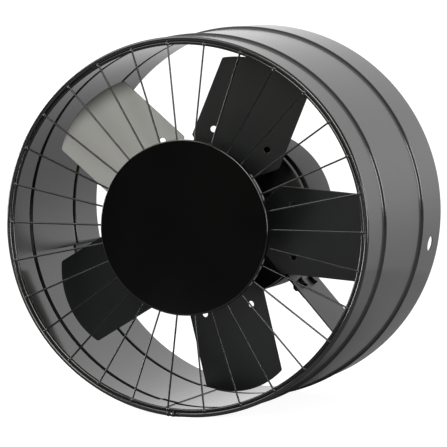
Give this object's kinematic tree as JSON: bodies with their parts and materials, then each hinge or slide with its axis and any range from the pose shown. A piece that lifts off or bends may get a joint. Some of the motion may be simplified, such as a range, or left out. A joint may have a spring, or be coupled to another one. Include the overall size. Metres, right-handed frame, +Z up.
{
  "type": "axial exhaust fan",
  "caption": "Round tube exhaust fan with rolled rim and beads, spoke guard with a plain centre disc, flat pitched blades and a motor on plate arms.",
  "frame": {"origin": "on the fan's axis at the tube's rear edge", "axes": "+Y along the axis from the guard to the rear mouth, +Z up, +X to the right as the guard is faced"},
  "size_m": [0.4046, 0.2817, 0.4044],
  "materials": {
    "tube_paint": "semi-gloss",
    "guard_paint": "semi-gloss",
    "disc_paint": "satin",
    "motor_paint": "cast, painted black",
    "arm_paint": "satin",
    "blade_paint": "semi-gloss",
    "spider_paint": "satin",
    "core_steel": "laminated",
    "copper": "enamelled copper wire",
    "bright_steel": "ground",
    "dark_steel": "black oxide",
    "hub_metal": "as cast",
    "rubber": "matte"
  },
  "bodies": {
    "housing": {"housing_tube": "tube_paint", "guard_ring": "guard_paint", "guard_spokes": "guard_paint", "guard_inner_ring": "guard_paint", "guard_disc": "disc_paint", "motor_front_shield": "motor_paint", "motor_rear_shell": "motor_paint", "support_arm_1": "arm_paint", "support_arm_2": "arm_paint", "support_arm_3": "arm_paint", "stator_core": "core_steel", "stator_windings": "copper", "front_bearing": "bright_steel", "rear_bearing": "bright_steel", "arm_bolts": "dark_steel", "arm_nuts": "dark_steel", "lead_grommet": "rubber"},
    "rotor": {"shaft": "bright_steel", "rotor_core": "core_steel", "hub": "hub_metal", "hub_spider": "spider_paint", "hub_washer": "bright_steel", "hub_nut": "bright_steel", "blade_1": "blade_paint", "blade_2": "blade_paint", "blade_3": "blade_paint", "blade_4": "blade_paint", "blade_5": "blade_paint"}
  },
  "joints": [
    {"name": "rotor_spin", "type": "hinge", "parent": "housing", "child": "rotor", "pos_m": [0, -0.2, 0], "axis": [0, 1, 0], "continuous": true}
  ]
}
